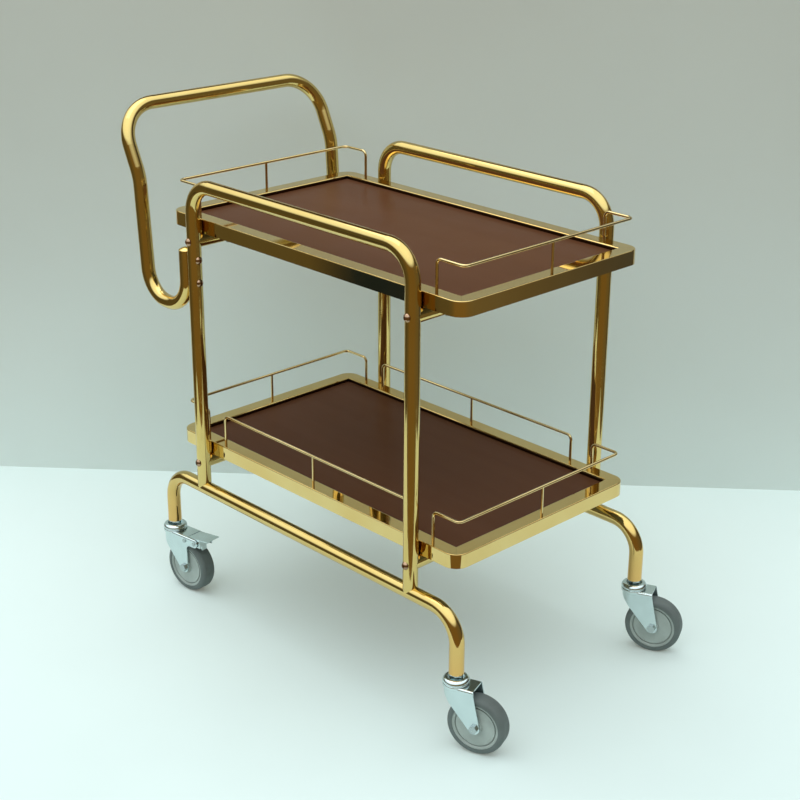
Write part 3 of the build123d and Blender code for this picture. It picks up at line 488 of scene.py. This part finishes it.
class TROLLEY_OT_set_stage(bpy.types.Operator):
    """Lays the floor, stands the wall, hangs the lamp, lights the room and places the camera"""

    bl_idname = "trolley.set_stage"
    bl_label = "Set stage"

    # Directions of the stage
    towards_wall = Vector((-0.678, 0.735, 0))
    along_wall = Vector((0.735, 0.678, 0))
    upwards = Vector((0, 0, 1))

    # Where the floor's painted light starts, which turns it paler towards the wall, and the darker
    # tones in floor and wall
    painted_light_start = -0.5
    floor_tone = 0.97
    wall_tone = 0.96

    # The soft lamp, in metres
    lamp_place = Vector((-0.9, -0.2, 3.1))
    lamp_target = Vector((0, 0, 0.4))
    lamp_size = 2.0

    # Where the room's warm front starts and ends, between its left side at 0 and its right at 1
    front_stops = (0.2, 0.7)

    # Soft edges in the room, as the two ends of each along a direction from the trolley
    corner_top = (-0.28, -0.17)
    corner_left = (-0.93, -0.78)
    corner_near = (-0.045, -0.03)
    corner_far = (0.01, 0.04)
    side_right = (0.75, 0.88)
    side_ahead = (0.06, 0.17)
    ceiling_edge = (0.38, 0.56)
    ceiling_middle = (0.52, 0.92)
    back_edge = (0.57, 0.70)

    # The camera's place in metres, its angles in radians and its lens
    camera_place = (1.852863, -1.770482, 1.463095)
    camera_yaw = 0.799
    camera_pitch = 0.379
    camera_roll = 0.008
    sensor_mm = 36
    lens_mm = 70.334
    lens_shift = (-0.0118, -0.0123)

    def execute(self, context):
        stage = context.scene.trolley_stage
        self.lay_floor(stage)
        self.stand_wall(stage)
        self.hang_lamp(stage)
        self.light_room(context.scene, stage)
        self.place_camera(context.scene)
        context.scene.view_settings.view_transform = "Standard"
        return {"FINISHED"}

    def sheet(self, name, middle, width, depth, normal):
        """A flat rectangle of the stage, its width along the wall."""
        bpy.ops.object.select_all(action="DESELECT")
        bpy.ops.mesh.primitive_grid_add(x_subdivisions=4, y_subdivisions=4, size=1)
        piece = bpy.context.object
        piece.name = name
        rows = (self.along_wall * width, normal.cross(self.along_wall) * depth, normal)
        turn = Matrix(rows).transposed().to_4x4()
        piece.matrix_world = Matrix.Translation(middle) @ turn
        bpy.ops.object.transform_apply(location=True, rotation=True, scale=True)
        return piece

    def middle(self, stage, ahead, height):
        """A point in the middle of the floor's width, some way ahead and up."""
        aside = (stage.floor_right - stage.floor_left) / 2
        return self.along_wall * aside + self.towards_wall * ahead + self.upwards * height

    def lay_floor(self, stage):
        """A floor with painted light that turns it paler towards the wall, and painted shade on the
        plain stretch behind the wall.
        """
        width = stage.floor_left + stage.floor_right
        depth = stage.floor_front + stage.floor_back
        middle = self.middle(stage, (stage.floor_back - stage.floor_front) / 2, 0)
        floor = self.sheet("stage_floor", middle, width, depth, self.upwards)
        material, tree, shader = start_material("pale floor")
        near = mottle(tree, stage.floor, scaled(stage.floor, self.floor_tone), scale=2.5)
        coords = add_node(tree, "ShaderNodeTexCoord")
        ahead = heading(tree, coords.outputs["Object"], self.towards_wall)
        # Painted light: the floor turns paler from its near part to the wall
        far = spread(tree, ahead, 0, 1, self.painted_light_start, stage.wall_distance)
        colour = mix_colours(tree, far, near, stage.floor_far_painted_light)
        # Painted shade: the floor behind the wall takes a darker colour
        behind = calculate(tree, "GREATER_THAN", ahead, stage.wall_distance)
        colour = mix_colours(tree, behind, colour, stage.floor_behind_painted_shade)
        tree.links.new(colour, shader.inputs["Base Color"])
        shader.inputs["Roughness"].default_value = 0.7
        shader.inputs["Specular IOR Level"].default_value = 0.2
        self.lift(tree, shader, stage.floor_shade, stage.floor_lift)
        floor.data.materials.append(material)

    def lift(self, tree, shader, tone, amount):
        """Mixes a plain tone into the floor where it is seen or mirrored.

        This lightens and warms the shadow, and casts no light on the trolley.
        """
        rays = add_node(tree, "ShaderNodeLightPath").outputs
        seen = calculate(tree, "MAXIMUM", rays["Is Camera Ray"], rays["Is Glossy Ray"])
        seen = calculate(tree, "MAXIMUM", seen, rays["Is Transmission Ray"])
        plain = add_node(tree, "ShaderNodeEmission")
        plain.inputs["Color"].default_value = (*tone, 1)
        mix_surfaces(tree, calculate(tree, "MULTIPLY", seen, amount), shader, plain)

    def stand_wall(self, stage):
        """A wall that shows its front only, so that the trolley can be seen from behind it."""
        width = stage.floor_left + stage.floor_right
        middle = self.middle(stage, stage.wall_distance, stage.wall_height / 2)
        wall = self.sheet("stage_wall", middle, width, stage.wall_height, -self.towards_wall)
        material, tree, shader = start_material("pale wall")
        colour = mottle(tree, stage.wall, scaled(stage.wall, self.wall_tone), scale=1.6)
        tree.links.new(colour, shader.inputs["Base Color"])
        shader.inputs["Roughness"].default_value = 0.9
        shader.inputs["Specular IOR Level"].default_value = 0.1
        clear = add_node(tree, "ShaderNodeBsdfTransparent")
        geometry = add_node(tree, "ShaderNodeNewGeometry")
        mix_surfaces(tree, geometry.outputs["Backfacing"], shader, clear)
        wall.data.materials.append(material)

    def hang_lamp(self, stage):
        """A soft square lamp above the trolley."""
        bpy.ops.object.light_add(type="AREA", location=self.lamp_place)
        lamp = bpy.context.object
        lamp.name = "soft_lamp"
        lamp.data.shape = "SQUARE"
        lamp.data.size = self.lamp_size
        lamp.data.energy = stage.lamp_power
        lamp.rotation_mode = "QUATERNION"
        lamp.rotation_quaternion = (self.lamp_target - self.lamp_place).to_track_quat("-Z", "Y")

    def light_room(self, scene, stage):
        """A dim warm room with a bright ceiling, the same for light, reflections and camera."""
        world = bpy.data.worlds.new("room")
        scene.world = world
        world.use_nodes = True
        tree = world.node_tree
        coords = add_node(tree, "ShaderNodeTexCoord")
        across, ahead, height = [
            heading(tree, coords.outputs["Generated"], way)
            for way in (self.along_wall, self.towards_wall, self.upwards)
        ]
        room = self.walls(tree, stage, across)
        room = mix_colours(tree, self.corner(tree, across, ahead, height), room, stage.room_corner)
        room = mix_colours(tree, self.side(tree, across, ahead), room, stage.room_side)
        slope = calculate(tree, "MULTIPLY", across, stage.ceiling_slope)
        level = calculate(tree, "SUBTRACT", height, slope)
        light = mix_colours(tree, spread(tree, level, 0, 1, *self.ceiling_edge), room, stage.sky_edge)
        light = mix_colours(tree, spread(tree, level, 0, 1, *self.ceiling_middle), light, stage.sky)
        light = mix_colours(tree, spread(tree, ahead, 0, 1, *self.back_edge), light, stage.room_back)
        background = tree.nodes["Background"]
        tree.links.new(light, background.inputs["Color"])
        background.inputs["Strength"].default_value = stage.room_light

    def walls(self, tree, stage, across):
        """The room's colours from its left side, past its front, to its right side."""
        node = add_node(tree, "ShaderNodeValToRGB")
        stops = node.color_ramp.elements
        stops[0].color = (*stage.room_left, 1)
        stops[1].color = (*stage.room_right, 1)
        for place in self.front_stops:
            stops.new(place).color = (*stage.room_front, 1)
        tree.links.new(spread(tree, across, 0, 1, -1, 1), node.inputs[0])
        return node.outputs[0]

    def corner(self, tree, across, ahead, height):
        """Marks the narrow dark corner, low at the left of the room."""
        low = spread(tree, height, 1, 0, *self.corner_top)
        left = spread(tree, across, 1, 0, *self.corner_left)
        near = spread(tree, ahead, 0, 1, *self.corner_near)
        far = spread(tree, ahead, 1, 0, *self.corner_far)
        low_left = calculate(tree, "MULTIPLY", low, left)
        return calculate(tree, "MULTIPLY", low_left, calculate(tree, "MULTIPLY", near, far))

    def side(self, tree, across, ahead):
        """Marks the grey part at the far right of the room."""
        right = spread(tree, across, 0, 1, *self.side_right)
        far = spread(tree, ahead, 0, 1, *self.side_ahead)
        return calculate(tree, "MULTIPLY", right, far)

    def place_camera(self, scene):
        """A camera that looks down on the front right corner of the trolley."""
        bpy.ops.object.camera_add(location=self.camera_place)
        camera = bpy.context.object
        level = Vector((cos(self.camera_yaw), sin(self.camera_yaw), 0))
        ahead = self.upwards.cross(level) * cos(self.camera_pitch)
        ahead = ahead - self.upwards * sin(self.camera_pitch)
        upright = level.cross(ahead)
        right = level * cos(self.camera_roll) + upright * sin(self.camera_roll)
        up = upright * cos(self.camera_roll) - level * sin(self.camera_roll)
        turn = Matrix((right, up, -ahead)).transposed()
        camera.rotation_mode = "QUATERNION"
        camera.rotation_quaternion = turn.to_quaternion()
        camera.data.sensor_width = self.sensor_mm
        camera.data.lens = self.lens_mm
        camera.data.shift_x, camera.data.shift_y = self.lens_shift
        scene.camera = camera


class TROLLEY_PT_panel(bpy.types.Panel):
    """Steps of the serving trolley"""

    bl_idname = "TROLLEY_PT_panel"
    bl_label = "Serving trolley"
    bl_space_type = "VIEW_3D"
    bl_region_type = "UI"
    bl_category = "Trolley"

    def draw(self, context):
        for step in STEPS:
            self.layout.operator(step.bl_idname)
        for group in (context.scene.trolley_finishes, context.scene.trolley_stage):
            for name in group.__annotations__:
                self.layout.prop(group, name)


STEPS = (
    TROLLEY_OT_polish_tubes,
    TROLLEY_OT_polish_edging,
    TROLLEY_OT_lay_boards,
    TROLLEY_OT_bend_galleries,
    TROLLEY_OT_plate_casters,
    TROLLEY_OT_mould_wheels,
    TROLLEY_OT_fit_screws,
    TROLLEY_OT_set_stage,
)
CLASSES = (TrolleyFinishes, TrolleyStage, *STEPS, TROLLEY_PT_panel)


def register():
    for item in CLASSES:
        bpy.utils.register_class(item)
    bpy.types.Scene.trolley_finishes = PointerProperty(type=TrolleyFinishes)
    bpy.types.Scene.trolley_stage = PointerProperty(type=TrolleyStage)


def unregister():
    del bpy.types.Scene.trolley_stage
    del bpy.types.Scene.trolley_finishes
    for item in reversed(CLASSES):
        bpy.utils.unregister_class(item)


def main():
    register()
    bpy.ops.trolley.polish_tubes()
    bpy.ops.trolley.polish_edging()
    bpy.ops.trolley.lay_boards()
    bpy.ops.trolley.bend_galleries()
    bpy.ops.trolley.plate_casters()
    bpy.ops.trolley.mould_wheels()
    bpy.ops.trolley.fit_screws()
    bpy.ops.trolley.set_stage()


if __name__ == "__main__":
    main()
